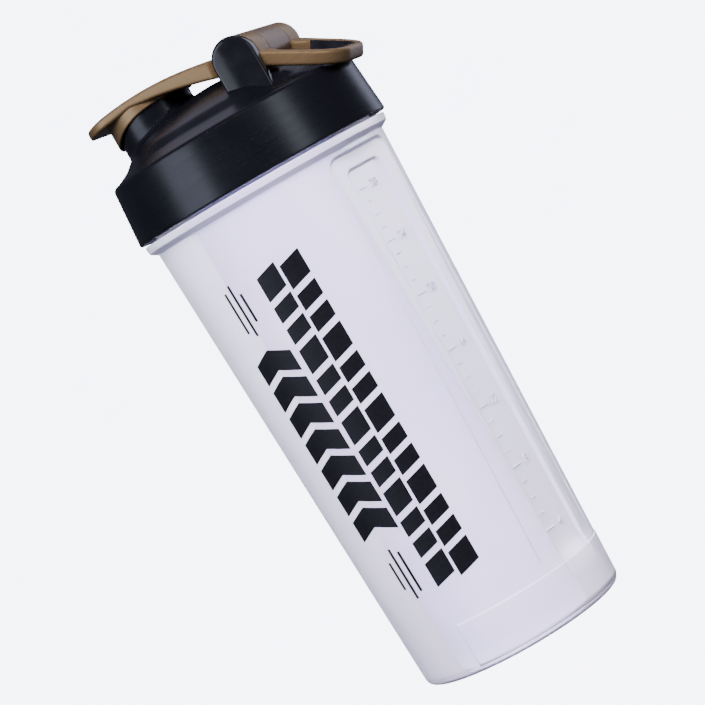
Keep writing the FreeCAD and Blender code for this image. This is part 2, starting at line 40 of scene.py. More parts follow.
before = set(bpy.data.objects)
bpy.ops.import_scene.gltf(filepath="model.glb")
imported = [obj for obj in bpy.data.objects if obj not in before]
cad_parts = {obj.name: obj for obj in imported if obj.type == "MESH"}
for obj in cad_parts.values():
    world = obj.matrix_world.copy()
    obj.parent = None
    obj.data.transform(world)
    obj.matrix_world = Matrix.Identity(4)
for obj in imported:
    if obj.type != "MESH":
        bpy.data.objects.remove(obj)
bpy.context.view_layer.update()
MM = 0.001

# Heights and places that the frame gives, in millimetres.
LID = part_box("lid")[0][2] / MM
HINGE_X, _, HINGE_Z = (np.array(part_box("hinge_pin")[0]) + np.array(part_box("hinge_pin")[1])) / 2 / MM
SPOUT_X = (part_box("spout_seal")[0][0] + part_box("spout_seal")[1][0]) / 2 / MM
CAP_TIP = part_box("flip_cap")[0][0] / MM


# ---------------------------------------------------------------- numbers into surfaces
def smooth(low, high, value):
    """0 below low, 1 above high, and the cubic 3t^2 - 2t^3 between them (low may be the larger one)."""
    t = np.clip((value - low) / (high - low), 0, 1)
    return t * t * (3 - 2 * t)


def soft_positive(value, softness):
    """The positive part of value, with its corner rounded: (v + sqrt(v^2 + s^2)) / 2."""
    return (value + np.sqrt(value * value + softness * softness)) / 2


def box_distance(across, along, half_across, half_along, corner):
    """Distance outside a round-cornered rectangle about the origin, negative inside it."""
    a = np.abs(across) - half_across + corner
    b = np.abs(along) - half_along + corner
    outside = np.hypot(np.maximum(a, 0), np.maximum(b, 0))
    return outside + np.minimum(np.maximum(a, b), 0) - corner


def rounded_path(points, radii, spacing):
    """An open path through points, its inner corners arcs of the given radii, sampled at about spacing."""
    points = np.asarray(points, float)
    pieces = []
    last = points[0]
    for before, corner, after, radius in zip(points, points[1:], points[2:], radii):
        into = (corner - before) / np.linalg.norm(corner - before)
        out = (after - corner) / np.linalg.norm(after - corner)
        turn = math.acos(float(np.clip(into @ out, -1, 1)))
        trim = radius * math.tan(turn / 2)
        start = corner - into * trim
        end = corner + out * trim
        straight = np.linalg.norm(start - last)
        if straight > 1e-6:
            count = max(int(straight / spacing), 1)
            pieces.append(last + (start - last) * np.linspace(0, 1, count, endpoint=False)[:, None])
        if radius > 0 and turn > 0.01:
            steps = max(int(radius * turn / spacing), 5)
            swing = np.linspace(0, turn, steps, endpoint=False)[:, None]
            side = (out - into * math.cos(turn)) / math.sin(turn)
            pieces.append(start + radius * (into * np.sin(swing) + side * (1 - np.cos(swing))))
        last = end
    count = max(int(np.linalg.norm(points[-1] - last) / spacing), 1)
    pieces.append(last + (points[-1] - last) * np.linspace(0, 1, count + 1)[:, None])
    return np.concatenate(pieces)


def add_object(name, data):
    """An object that shows the data, put in the scene."""
    item = bpy.data.objects.new(name, data)
    bpy.context.scene.collection.objects.link(item)
    return item


def surface(name, grid, closed_rows=False, closed_columns=True, flip=False, sharp=None):
    """A mesh object from a grid of points (rows, columns, xyz in mm): a quad between each four neighbours.

    A first or last row whose points coincide is a pole, and becomes one vertex with a fan of triangles.
    """
    rows, columns = grid.shape[:2]
    index = np.arange(rows * columns).reshape(rows, columns)
    for row in (0, -1):
        if not closed_rows and np.ptp(grid[row], axis=0).max() < 1e-6:
            index[row] = index[row, 0]
    down = np.concatenate([index, index[:1]]) if closed_rows else index
    full = np.concatenate([down, down[:, :1]], axis=1) if closed_columns else down
    quads = np.stack([full[:-1, :-1], full[:-1, 1:], full[1:, 1:], full[1:, :-1]], axis=-1).reshape(-1, 4)
    if flip:
        quads = quads[:, ::-1]
    used, compact = np.unique(quads, return_inverse=True)
    quads = compact.reshape(-1, 4)
    flat_first = quads[:, 0] == quads[:, 1]
    pinched = flat_first | (quads[:, 2] == quads[:, 3])
    fans = np.where(flat_first[:, None], quads[:, [0, 2, 3]], quads[:, [0, 1, 2]])[pinched]
    mesh = bpy.data.meshes.new(name)
    mesh.from_pydata(grid.reshape(-1, 3)[used] * MM, [], quads[~pinched].tolist() + fans.tolist())
    mesh.validate()
    mesh.shade_smooth()
    if sharp is not None:
        mesh.set_sharp_from_angle(angle=math.radians(sharp))
    return add_object(name, mesh)


def read(items, key, width, kind):
    """One attribute of all a mesh's vertices, corners or faces, as an array with a row for each."""
    values = np.empty(len(items) * width, kind)
    items.foreach_get(key, values)
    return values.reshape(-1, width)


def join(name, parts):
    """One object made of several, with their meshes added end to end."""
    points, corners, sizes = [], [], []
    for part in parts:
        old = part.data
        base = sum(len(group) for group in points)
        points.append(read(old.vertices, "co", 3, float))
        corners.append(read(old.loops, "vertex_index", 1, int)[:, 0] + base)
        sizes.append(read(old.polygons, "loop_total", 1, int)[:, 0])
        bpy.data.objects.remove(part)
        bpy.data.meshes.remove(old)
    ends = np.cumsum(np.concatenate(sizes))[:-1]
    mesh = bpy.data.meshes.new(name)
    mesh.from_pydata(np.concatenate(points), [], np.split(np.concatenate(corners), ends))
    mesh.shade_smooth()
    mesh.set_sharp_from_angle(angle=math.radians(50))
    return add_object(name, mesh)


def revolved(profile, turns):
    """Points of a profile (radius, height) swung through the turns about the Z axis."""
    radius, height = profile[:, :1], profile[:, 1:]
    return np.stack([radius * np.cos(turns), radius * np.sin(turns), height + 0 * turns], axis=-1)


def section_loop(half_wide, half_high, round_by):
    """Closed rounded rectangles, a row for each entry of the arrays: four arcs joined by straight sides."""
    steps = 6
    angle = np.linspace(0, math.pi / 2, steps)
    turn = np.concatenate([angle + quarter * math.pi / 2 for quarter in range(4)])
    side_a = np.repeat([1, -1, -1, 1], steps)
    side_b = np.repeat([1, 1, -1, -1], steps)
    wide = (half_wide - round_by)[:, None] * side_a + round_by[:, None] * np.cos(turn)
    high = (half_high - round_by)[:, None] * side_b + round_by[:, None] * np.sin(turn)
    return wide, high


def drum(name, low_y, high_y):
    """A hinge knuckle: a ring about the hinge axis, its section a rectangle with rounded outer edges."""
    corners = [(KNUCKLE_BORE, low_y), (BARREL, low_y), (BARREL, high_y), (KNUCKLE_BORE, high_y)]
    path = rounded_path(corners, [KNUCKLE_EDGE, KNUCKLE_EDGE], 2.0)
    turns = np.linspace(0, 2 * math.pi, 96, endpoint=False)
    out, along = path[:, :1], path[:, 1:]
    grid = np.stack([
        HINGE_X + out * np.cos(turns),
        along + 0 * turns,
        HINGE_Z + out * np.sin(turns),
    ], axis=-1)
    return surface(name, grid, closed_rows=True, sharp=35)


def place(item, body, slot, material, *replaced):
    """Ride a finished piece on its body, hide the parts it replaces, and give it a material; the slot is
    not used.
    """
    item.data.materials.append(material)
    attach(item, body)
    if replaced:
        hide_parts(*replaced)


# ---------------------------------------------------------------- materials
def linear(code):
    """An sRGB colour written as six hex digits, as linear red, green, blue and alpha."""
    parts = [int(code[at:at + 2], 16) / 255 for at in (0, 2, 4)]
    return tuple(c / 12.92 if c <= 0.04045 else ((c + 0.055) / 1.055) ** 2.4 for c in parts) + (1.0,)


def add_node(tree, kind, values=None, links=None):
    """Add a node: values are its inputs, links the (node, output) that feeds an input."""
    node = tree.nodes.new(kind)
    for key, value in (values or {}).items():
        node.inputs[key].default_value = value
    for key, (source, output) in (links or {}).items():
        tree.links.new(source.outputs[output], node.inputs[key])
    return node


def new_material(name, **values):
    """A material with one Principled shader, whose inputs are given by name with _ for a space."""
    material = bpy.data.materials.new(name)
    material.use_nodes = True
    shader = material.node_tree.nodes["Principled BSDF"]
    for key, value in values.items():
        shader.inputs[key.replace("_", " ")].default_value = value
    return material, material.node_tree, shader


def speckle(tree, size, stretch=(1, 1, 1), detail=2.0):
    """Noise on Object coordinates with grains about size mm across, stretched along each axis."""
    spot = add_node(tree, "ShaderNodeTexCoord")
    spread = add_node(tree, "ShaderNodeMapping", values={"Scale": tuple(1 / s for s in stretch)},
                      links={"Vector": (spot, "Object")})
    return add_node(tree, "ShaderNodeTexNoise", values={"Scale": 1 / (size * MM), "Detail": detail},
                    links={"Vector": (spread, "Vector")})


def bump(tree, shader, noise, depth):
    """Raise the surface by up to depth mm where the noise is high."""
    node = add_node(tree, "ShaderNodeBump", values={"Strength": 1.0, "Distance": depth * MM},
                    links={"Height": (noise, "Fac")})
    tree.links.new(node.outputs["Normal"], shader.inputs["Normal"])


def vary(tree, shader, noise, low, high):
    """Spread the shader's roughness between low and high with the noise."""
    spread = add_node(tree, "ShaderNodeMapRange",
                      values={"From Min": 0.35, "From Max": 0.65, "To Min": low, "To Max": high},
                      links={"Value": (noise, "Fac")})
    tree.links.new(spread.outputs["Result"], shader.inputs["Roughness"])


def tint(tree, shader, noise, dark, light, socket="Base Color"):
    """Mix two hex colours with the noise into the shader's colour."""
    ramp = add_node(tree, "ShaderNodeValToRGB", links={"Fac": (noise, "Fac")})
    ramp.color_ramp.elements[0].position = 0.3
    ramp.color_ramp.elements[0].color = linear(dark)
    ramp.color_ramp.elements[1].position = 0.7
    ramp.color_ramp.elements[1].color = linear(light)
    tree.links.new(ramp.outputs["Color"], shader.inputs[socket])


def frosted_polypropylene(rough):
    """Injection-moulded clear polypropylene from a blasted mould: milky, with a soft broad shine."""
    material, tree, shader = new_material(
        "frosted_polypropylene", IOR=1.49, Specular_IOR_Level=0.3, Transmission_Weight=0.32)
    # Melt flow leaves clouds a few centimetres long, and the blasting a grain of about 0.5 mm.
    tint(tree, shader, speckle(tree, 28, stretch=(1, 1, 2.5)), "D9D6F8", "EBE4FC")
    grain = speckle(tree, 0.5)
    vary(tree, shader, grain, rough - 0.05, rough + 0.06)
    bump(tree, shader, grain, 0.012)
    return material


def raised_polypropylene():
    """The same plastic where the mould was polished for the raised scale: smoother than the wall."""
    material, tree, shader = new_material(
        "polished_polypropylene", IOR=1.49, Transmission_Weight=0.15, Roughness=0.35)
    noise = speckle(tree, 3)
    tint(tree, shader, noise, "DAD7EE", "E6E2F6")
    bump(tree, shader, noise, 0.01)
    return material


def printing_ink():
    """Screen-printed ink, a few hundredths of a millimetre thick: black, satin, with a faint mesh grain."""
    material, tree, shader = new_material("screen_printed_ink", Roughness=0.46, Specular_IOR_Level=0.4)
    grain = speckle(tree, 0.6)
    tint(tree, shader, grain, "08080B", "121217")
    bump(tree, shader, grain, 0.006)
    return material


def black_polypropylene():
    """Moulded black polypropylene with an eggshell finish: blue-black, with wide soft highlights."""
    material, tree, shader = new_material("moulded_black_polypropylene", IOR=1.5)
    cloud = speckle(tree, 14)
    tint(tree, shader, cloud, "06070A", "090A0E")
    # Turning marks of the mould run round the lid as soft bands about 2 mm high; the grain is 0.5 mm.
    vary(tree, shader, speckle(tree, 2.0, stretch=(12, 12, 1), detail=0), 0.27, 0.295)
    bump(tree, shader, speckle(tree, 0.5), 0.0015)
    return material


def plain_finish(name, size, dark, light, low, high, depth, stretch=(1, 1, 1), detail=2.0, grain=None,
                 **values):
    """A material whose colour and roughness follow one noise, and its relief that or a grain of its own."""
    material, tree, shader = new_material(name, **values)
    noise = speckle(tree, size, stretch, detail)
    tint(tree, shader, noise, dark, light)
    vary(tree, shader, noise, low, high)
    bump(tree, shader, speckle(tree, grain) if grain else noise, depth)
    return material


def black_polished():
    """The same black polypropylene where the mould was polished, on the faces of the hinge ears."""
    return plain_finish("polished_black_polypropylene", 6, "0A0B0E", "0E0F13", 0.03, 0.045, 0.001, IOR=1.5)


def bronze_paint():
    """Metallic bronze paint sprayed on moulded ABS: warm flake, drawn out in fine streaks along the arm."""
    # Flakes are far finer than 0.35 mm, which is the finest that shows.
    return plain_finish("sprayed_bronze_on_abs", 0.7, "877050", "8F7856", 0.36, 0.42, 0.010,
                        stretch=(14, 3, 1), detail=3, grain=0.35, Metallic=0.8)


def bronze_smooth():
    """The same bronze paint on the round of the middle knuckle: even and silkier, its greyer, paler colour
    a painted sheen.
    """
    # These two colours are greyer and paler than the arm's bronze: a painted sheen, not a different paint.
    return plain_finish("satin_bronze_on_abs", 5, "7E6B5A", "857261", 0.36, 0.42, 0.006,
                        grain=0.35, Metallic=0.8)


def black_liner():
    """Moulded glossy black ABS, clipped inside the loop: shinier than the lid's skirt."""
    return plain_finish("moulded_gloss_black_abs", 6, "0E0F13", "15161B", 0.20, 0.28, 0.01, IOR=1.53)


def silicone():
    """Compression-moulded silicone rubber: grey, dusty and slightly translucent."""
    return plain_finish("moulded_silicone", 1.2, "BFC1C8", "CFD1D8", 0.5, 0.62, 0.01,
                        IOR=1.41, Transmission_Weight=0.12)


def pin_steel():
    """Centreless-ground stainless wire: bright, with fine rings round the pin."""
    return plain_finish("ground_stainless_steel", 0.4, "B9BBBE", "CDCFD2", 0.22, 0.32, 0.004,
                        stretch=(6, 1, 6), Metallic=1.0)


def grid_polypropylene():
    """Moulded dark polypropylene of the mixing grid: matt, with a coarse flow pattern."""
    return plain_finish("moulded_matt_polypropylene", 4, "24252B", "303138", 0.45, 0.58, 0.01,
                        grain=0.5, IOR=1.49)


# ---------------------------------------------------------------- cup
WINDOW_TURN = math.radians(70 - 90)
WINDOW_TOP = 179.0
WINDOW_LOW = 20.0
WINDOW_HALF = 16.9
WINDOW_LEDGE = 0.35
REACH_LOW = 39.24
REACH_TOP = 42.5
PANEL_TOP = 173.0
PANEL_LOW = 12.0
PANEL_HALF_TOP = 10.4
PANEL_HALF_LOW = 8.2
PANEL_DEEP = 1.1
BAND_START = math.radians(-9 - 90)
BAND_TOP = 19.0
BAND_PROUD = 0.3
CUP_BASE = 39.1
CUP_TOP = 45.65
CUP_TOP_Z = 181.0
FOOT_RECESS = 1.2
FOOT_RING = 32.0
CUP_FLOOR = 5.0
WALL = 1.7
FLANGE = 48.8
FLANGE_TOP = LID - 0.9
FLANGE_LOW = FLANGE_TOP - 2.8
NECK = 43.6
NECK_TOP = LID + 18.0
THREAD_PITCH = 5.0
THREAD_TURNS = 1.25
THREAD_TALL = 2.2
THREAD_PROUD = 1.7


def cone(height):
    """The plain cup's outer radius at a height."""
    return CUP_BASE + (CUP_TOP - CUP_BASE) * height / CUP_TOP_Z


def window_reach(height):
    """How far the window's leaning plane is from the axis at a height."""
    share = (height - WINDOW_LOW) / (WINDOW_TOP - WINDOW_LOW)
    return REACH_LOW + (REACH_TOP - REACH_LOW) * share


def window_depth(height, turn):
    """How far the outer wall is let in by the sight window and the panel within it.

    The wall is cut by a leaning plane and let in by a small ledge, inside a round-cornered rectangle; a
    narrower panel is sunk inside that. Both run out smoothly near the base.
    """
    swing = (turn - WINDOW_TURN + math.pi) % (2 * math.pi) - math.pi
    facing = np.cos(np.clip(swing, -1.2, 1.2))
    across = cone(height) * np.sin(np.clip(swing, -1.5, 1.5))
    middle = (WINDOW_TOP + WINDOW_LOW) / 2
    edge = box_distance(across, height - middle, WINDOW_HALF, WINDOW_TOP - middle, 4.0)
    inside = smooth(0.4, -0.4, edge) * smooth(WINDOW_LOW - 8, WINDOW_LOW + 6, height)
    cut = soft_positive(cone(height) - window_reach(height) / facing, 0.3)
    flat = inside * (cut + WINDOW_LEDGE)
    share = (height - PANEL_LOW) / (PANEL_TOP - PANEL_LOW)
    half = PANEL_HALF_LOW + (PANEL_HALF_TOP - PANEL_HALF_LOW) * share
    middle = (PANEL_TOP + PANEL_LOW) / 2
    edge = box_distance(across, height - middle, half, PANEL_TOP - middle, 3.0)
    sunk = smooth(0.45, -0.45, edge) * smooth(PANEL_LOW, PANEL_LOW + 14, height) * PANEL_DEEP
    near = np.abs(swing) < 1.1
    return np.where(near, flat + sunk / facing, 0)


def window_back(height, turn):
    """The cavity's radius behind the window: the same leaning plane, a wall further in."""
    swing = (turn - WINDOW_TURN + math.pi) % (2 * math.pi) - math.pi
    facing = np.cos(np.clip(swing, -1.2, 1.2))
    plane = (window_reach(height) - WALL - PANEL_DEEP) / facing
    inside = smooth(PANEL_LOW, PANEL_LOW + 12, height) * smooth(WINDOW_TOP + 3, WINDOW_TOP + 1, height)
    return np.where(np.abs(swing) < 1.1, plane, 99.0), inside


def thread_height(height, turn, foot):
    """A right-hand ridge, climbing one pitch a turn: 1 on its crest, 0 beside it, run out at both ends."""
    best = np.zeros(np.broadcast(height, turn).shape)
    wrapped = turn % (2 * math.pi)
    for lap in range(2):
        climbed = wrapped / (2 * math.pi) + lap
        centre = foot + THREAD_TALL / 2 + THREAD_PITCH * climbed
        ridge = smooth(THREAD_TALL / 2, THREAD_TALL / 4, np.abs(height - centre))
        ends = smooth(0, 0.02, climbed) * smooth(THREAD_TURNS, THREAD_TURNS - 0.02, climbed)
        best = np.maximum(best, ridge * ends)
    return best


def cup_turns():
    """Angles of the cup's columns: close together across the window and at the foot band's two ends."""
    window = WINDOW_TURN + np.radians(np.linspace(-27, 27, 96))
    edges = [BAND_START + half * math.pi + np.radians(np.linspace(-0.6, 0.6, 5)) for half in (0, 1)]
    rest = WINDOW_TURN + np.radians(np.linspace(27, 333, 140))[1:-1]
    fine = np.concatenate(edges)
    gaps = np.abs((rest[:, None] - fine + math.pi) % (2 * math.pi) - math.pi).min(axis=1)
    return np.sort(np.concatenate([window, fine, rest[gaps > math.radians(0.7)]]) % (2 * math.pi))


def make_cup_shell():
    """The cup in one closed surface: foot, tapering wall, flange, threaded neck, rim, cavity and floor."""
    turns = cup_turns()
    foot = rounded_path([
        (0, FOOT_RECESS), (FOOT_RING, FOOT_RECESS), (FOOT_RING + FOOT_RECESS, 0), (CUP_BASE, 0),
        (CUP_BASE, 2.2)], [0.6, 0.6, 2.1], 1.2)
    under = [(0, FOOT_RECESS), (12, FOOT_RECESS), (24, FOOT_RECESS)]
    foot = np.concatenate([under, foot[foot[:, 0] > 30]])
    heights = np.concatenate([
        np.linspace(2.4, 18.2, 11), np.linspace(18.6, 19.4, 5), np.linspace(20.5, 170, 72),
        np.linspace(171, CUP_TOP_Z, 32)])
    wall = np.stack([cone(heights), heights], axis=-1)
    flange = rounded_path([
        (CUP_TOP, CUP_TOP_Z), (FLANGE - 0.4, FLANGE_LOW), (FLANGE, FLANGE_TOP), (NECK, FLANGE_TOP),
        (NECK, FLANGE_TOP + 2)], [0.7, 0.5, 0.8], 0.7)[1:-1]
    neck_heights = np.linspace(FLANGE_TOP + 2.0, NECK_TOP - 1.2, 46)
    neck = np.stack([np.full(46, NECK), neck_heights], axis=-1)
    inner_top = NECK - WALL
    rim = rounded_path([(NECK, NECK_TOP - 1.0), (NECK, NECK_TOP), (inner_top, NECK_TOP),
                        (inner_top, NECK_TOP - 1.2)], [0.5, 0.4], 0.4)
    inner_foot = CUP_BASE - WALL + (CUP_TOP - CUP_BASE) * 10 / CUP_TOP_Z
    cavity = np.concatenate([
        np.stack([np.full(8, inner_top), np.linspace(NECK_TOP - 2, WINDOW_TOP + 3, 8)], axis=-1),
        np.stack([np.full(5, inner_top), np.linspace(WINDOW_TOP + 2.5, WINDOW_TOP, 5)], axis=-1)])
    low = np.linspace(WINDOW_TOP - 2, 10.5, 56)
    lean = inner_foot + (inner_top - inner_foot) * (low - 10) / (WINDOW_TOP - 10)
    bowl = rounded_path([(inner_foot, 10.2), (inner_foot - 0.2, CUP_FLOOR), (0, CUP_FLOOR)], [5.0], 0.9)
    bowl = np.concatenate([bowl[bowl[:, 0] > 31], [(22, CUP_FLOOR), (10, CUP_FLOOR), (0, CUP_FLOOR)]])
    inner = np.concatenate([cavity, np.stack([lean, low], axis=-1), bowl])
    profile = np.concatenate([foot, wall, flange, neck, rim, inner])
    # Kinds of zone: 0 plain, 1 the outer wall, 2 the threaded neck, 3 the cavity.
    lengths = [len(part) for part in (foot, wall, flange, neck, rim, inner)]
    kinds = np.repeat([0, 1, 0, 2, 0, 3], lengths)[:, None]
    radius = profile[:, :1] + 0 * turns
    height = profile[:, 1:] + 0 * turns
    angle = turns + 0 * height
    past = (angle - BAND_START) % (2 * math.pi)
    banded = smooth(0, 0.005, past) * smooth(math.pi, math.pi - 0.005, past)
    band = BAND_PROUD * banded * smooth(BAND_TOP + 0.1, BAND_TOP - 0.4, height)
    outer = radius - window_depth(height, angle) + band
    threaded = radius + THREAD_PROUD * thread_height(height, angle, LID + 7.0)
    plane, inside = window_back(height, angle)
    hollow = radius - inside * soft_positive(radius - plane, 0.6)
    radius = np.select([kinds == 1, kinds == 2, kinds == 3], [outer, threaded, hollow], radius)
    grid = np.stack([radius * np.cos(angle), radius * np.sin(angle), height], axis=-1)
    return surface("cup_shell", grid, flip=True)


# ---------------------------------------------------------------- print and scale
PRINT_LIFT = 0.06
PRINT_LEFT = math.radians(-20.3 - 90)
PRINT_RIGHT = math.radians(6.2 - 90)
CHEVRON_STEP = 10.6
PAIR_AWAY = 4.8
PAIR_GAP = 2.4
MARK_RISE = 0.22
TICK_MIDDLE = -5.2
NUMBER_MIDDLE = 1.6
NUMBER_TALL = 4.6
OUNCE = 29573.5


def on_cup(along, across, centre):
    """Points lying on the cup's wall: along is the height, across the arc length from the centre's turn."""
    radius = cone(along) + PRINT_LIFT
    turn = centre + across / radius
    return np.stack([radius * np.cos(turn), radius * np.sin(turn), along], axis=-1)


def printed_bar(start, thick, half, lean, centre, middle=0.0, bent=False):
    """A bar across the print's column: its height rises with the distance across, or bends to a chevron.

    height = start + lean * across (or lean * (half - |across|)) + share * thick.
    """
    across = np.linspace(-half, half, 13)[None, :]
    share = np.linspace(0, 1, 4)[:, None]
    rise = lean * (half - np.abs(across)) if bent else lean * across
    along = start + rise + share * thick
    grid = on_cup(along, across + middle + 0 * along, centre)
    return surface("printed_bar", grid, closed_columns=False, flip=True)


def make_print():
    """Two columns of bold bars up the cup: chevrons on the left, slanted bars in pairs on the right."""
    bars = []
    for count in range(7):
        bars.append(printed_bar(58.5 + count * CHEVRON_STEP, 8.0, 8.7, 0.42, PRINT_LEFT, bent=True))
    # Three thin lines at each end of the chevrons: an inset of 1 makes one shorter by 9 mm.
    for end, order in ((33.0, (1.0, 0.0, 0.45)), (139.5, (0.45, 0.0, 1.0))):
        for line, inset in enumerate(order):
            reach = 20.0 - 9.0 * inset
            middle = (line - 1) * 3.1
            bars.append(printed_bar(end + 4.5 * inset, reach, 0.55, 0.0, PRINT_LEFT, middle=middle))
    start = 35.0
    for count in range(13):
        thick = 9.2 if count % 3 == 0 else 6.0
        for side in (-1, 1):
            middle = side * PAIR_AWAY
            bars.append(printed_bar(start, thick, 4.25, 0.30, PRINT_RIGHT, middle=middle))
        start += thick + PAIR_GAP
    return join("printed_bars", bars)


def window_point(across, up, rise):
    """A place on the panel's face: across it, up the cup, and rise proud of it."""
    reach = window_reach(up) - PANEL_DEEP + rise
    along = np.array([math.cos(WINDOW_TURN), math.sin(WINDOW_TURN)])
    side = np.array([-math.sin(WINDOW_TURN), math.cos(WINDOW_TURN)])
    flat = reach[..., None] * along + across[..., None] * side
    return np.concatenate([flat, up[..., None]], axis=-1)


def raised_tick(low, half_long, half_tall, middle):
    """A low ridge on the panel: a rounded section carried straight across."""
    across = np.linspace(-half_long, half_long, 9)[None, :]
    round_end = np.sqrt(np.clip(1 - (across / half_long) ** 6, 0, 1))
    swing = np.linspace(0, math.pi, 7)[:, None]
    up = low + half_tall * np.cos(swing) * (0.2 + 0.8 * round_end)
    rise = MARK_RISE * np.sin(swing) * round_end - 0.05
    return surface("raised_tick", window_point(across + middle + 0 * up, up, rise), closed_columns=False)


def ounce_height(ounces):
    """The height that some fluid ounces reach in the cup: the cavity's volume, summed slice by slice."""
    heights = np.linspace(CUP_FLOOR, CUP_TOP_Z, 353)
    area = math.pi * (cone(heights) - WALL) ** 2
    slices = (area[1:] + area[:-1]) / 2 * np.diff(heights)
    return float(np.interp(ounces * OUNCE, np.concatenate([[0], np.cumsum(slices)]), heights))


def make_scale():
    """The measuring scale on the window's panel: a ridge for each ounce and a raised number for each 4."""
    parts = []
    for mark in range(4, 29):
        long_mark = mark % 4 == 0
        parts.append(raised_tick(ounce_height(mark), 2.6 if long_mark else 1.4, 0.3, TICK_MIDDLE))
    for mark in range(4, 29, 4):
        text = bpy.data.curves.new("numeral", "FONT")
        text.body = str(mark)
        text.size = NUMBER_TALL * MM
        text.align_x = "CENTER"
        text.align_y = "CENTER"
        text.extrude = MARK_RISE * MM
        shape = add_object("numeral", text)
        bpy.context.view_layer.update()
        depsgraph = bpy.context.evaluated_depsgraph_get()
        flat = bpy.data.meshes.new_from_object(shape.evaluated_get(depsgraph))
        bpy.data.objects.remove(shape)
        number = read(flat.vertices, "co", 3, float) / MM
        up = number[:, 1] + ounce_height(mark)
        placed = window_point(number[:, 0] + NUMBER_MIDDLE, up, number[:, 2])
        flat.vertices.foreach_set("co", (placed * MM).ravel())
        parts.append(add_object("numeral", flat))
    return join("raised_scale", parts)


# ---------------------------------------------------------------- lid
SKIRT = 50.0
SKIRT_TOP = 48.2
SKIRT_HIGH = 22.7
SHOULDER = 46.1
THREAD_WALL = 46.2
SPOUT = 15.5
SPOUT_BORE = 11.0
SPOUT_TOP = 42.9
SPOUT_FLARE = 2.2
BARREL = 8.0
TROUGH = BARREL + 0.4
EAR_INNER = 24.1
DOME = 82.2
CROWN = 37.5
DOME_EDGE = 37.2
COLLAR_EDGE = 41.0
TOP_RADII = np.array([0.0, DOME_EDGE, COLLAR_EDGE, SHOULDER, 60.0])
LIP_INNER = 38.6
LIP_OUTER = 40.6
LIP_LOW = 15.0
SEAL_SEAT = 20.0
LID_WALL = 2.0
NEAR_EAR = 8.1
NEAR_EAR_THICK = 5.0
FAR_EAR = 7.0
FAR_EAR_THICK = 3.0


def lid_top(radius):
    """Height above the lid's foot of its top at a radius: dome, steep collar and shoulder, blended."""
    fine = np.linspace(-3, 60, 1261)
    dome = CROWN - DOME + np.sqrt(DOME ** 2 - fine ** 2)
    shape = np.interp(np.abs(fine), TOP_RADII, [CROWN, 28.6, 25.3, SKIRT_HIGH, SKIRT_HIGH])
    shape = np.where(np.abs(fine) < DOME_EDGE, dome, shape)
    weights = np.exp(-0.5 * (np.linspace(-2, 2, 81) / 0.55) ** 2)
    shape = np.convolve(np.pad(shape, 40, mode="edge"), weights / weights.sum(), mode="valid")
    return np.interp(radius, fine, shape)


def with_trough(x, y, height, radius, half):
    """Let a surface down to clear a cylinder of the given radius about the hinge axis, between the ears."""
    away = np.clip(np.abs(x - HINGE_X) / radius, 0, 1)
    low = HINGE_Z - LID - radius * np.sqrt(1 - away ** 2)
    drop = soft_positive(height - low, 0.25) * (away < 1)
    return height - drop * smooth(half + 1.4, half + 0.3, np.abs(y))


def between_rings(shares, outer, inner, turns):
    """Rings that shrink and slide from a circle about the lid's axis to a circle about the spout's axis."""
    shares = np.asarray(shares)[:, None]
    radius = outer * (1 - shares) + inner * shares
    return SPOUT_X * shares + radius * np.cos(turns), radius * np.sin(turns)


